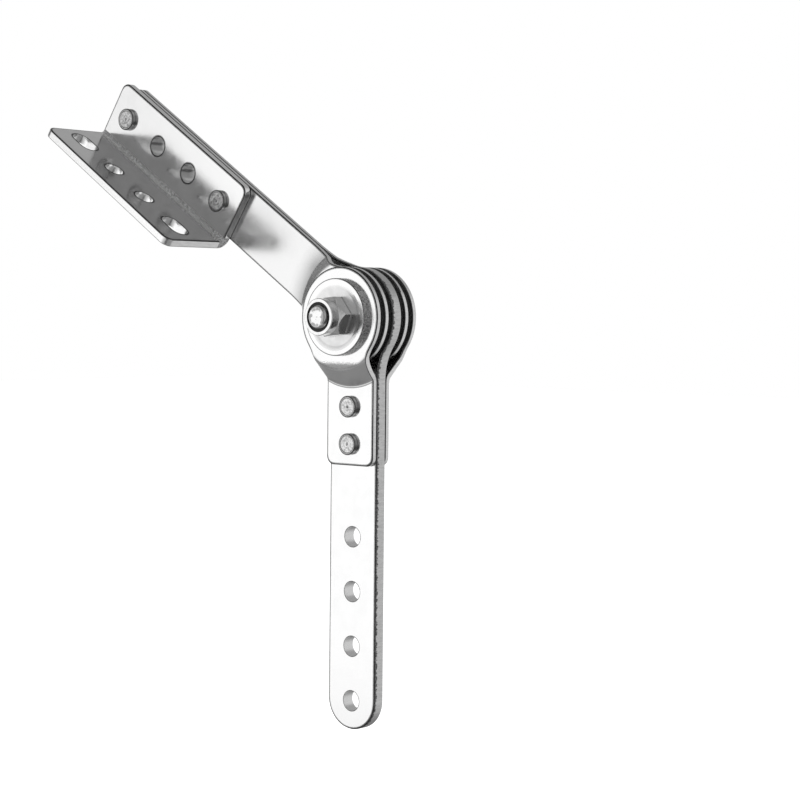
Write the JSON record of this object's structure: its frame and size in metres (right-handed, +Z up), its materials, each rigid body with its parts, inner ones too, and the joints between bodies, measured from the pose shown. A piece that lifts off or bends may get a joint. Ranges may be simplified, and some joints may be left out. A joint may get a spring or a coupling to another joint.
{
  "type": "sofa headrest friction hinge",
  "caption": "Plated steel friction hinge for a sofa headrest: a holed lower bar and a slotted angle bracket on a swinging arm, clamped at a pivot by a bolt and lock nut.",
  "frame": {"origin": "middle of the row of four fixing holes in the lower bar, halfway through its thickness", "axes": "+Z up along the lower bar towards the pivot, +Y through the bar away from the lock nut, so the pivot's axis is along Y; the arm leans towards -X"},
  "size_m": [0.1429, 0.0502, 0.2284],
  "materials": {
    "plated_bar": "bright plated, polished",
    "plated_cheeks": "bright plated, polished",
    "plated_arm": "bright plated, polished",
    "plated_bracket": "bright plated, polished",
    "plated_nut": "bright plated, polished",
    "washer_steel": "bright plated, polished",
    "rivet_steel": "plated, rough faces",
    "bolt_steel": "plated, rough faces",
    "black_nylon": "matt",
    "friction_lining": "matt"
  },
  "bodies": {
    "lower_bracket": {"lower_bar": "plated_bar", "front_cheek": "plated_cheeks", "rear_cheek": "plated_cheeks", "cheek_rivet_upper": "rivet_steel", "cheek_rivet_lower": "rivet_steel", "pivot_bolt": "bolt_steel", "lock_nut": "plated_nut", "nut_insert": "black_nylon", "front_washer": "washer_steel", "rear_washer": "washer_steel", "friction_disc_front_outer": "friction_lining", "friction_disc_front_inner": "friction_lining", "friction_disc_rear_inner": "friction_lining", "friction_disc_rear_outer": "friction_lining"},
    "swinging_arm": {"front_arm_plate": "plated_arm", "rear_arm_plate": "plated_arm", "angle_bracket": "plated_bracket", "bracket_rivet_near": "rivet_steel", "bracket_rivet_far": "rivet_steel"}
  },
  "joints": [
    {"name": "headrest_pivot", "type": "hinge", "parent": "lower_bracket", "child": "swinging_arm", "pos_m": [0, 0, 0.1042], "axis": [0, 1, 0], "range_deg": [-53.6, 166.4]}
  ]
}
